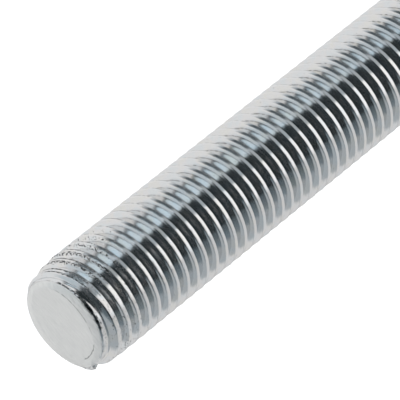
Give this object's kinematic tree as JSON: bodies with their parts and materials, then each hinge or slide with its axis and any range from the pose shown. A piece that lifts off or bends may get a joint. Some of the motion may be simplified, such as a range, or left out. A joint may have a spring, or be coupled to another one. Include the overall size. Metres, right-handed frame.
{
  "type": "threaded rod",
  "caption": "Straight steel rod threaded along its whole length, with a flat face and a tapered lead-in at each end, for clamping, hanging or tying parts with nuts.",
  "frame": {"origin": "centre of the lower end face, which the rod stands on", "axes": "+Z along the rod; the thread is right-handed, and a crest passes the lower end face 290 degrees round from +X towards +Y"},
  "size_m": [0.0156, 0.0156, 0.12],
  "materials": {
    "zinc_plated_steel": "bright blue-white zinc plating over a rolled thread, matt on the cut end faces"
  },
  "bodies": {
    "root": {"threaded_rod": "zinc_plated_steel"}
  },
  "joints": []
}
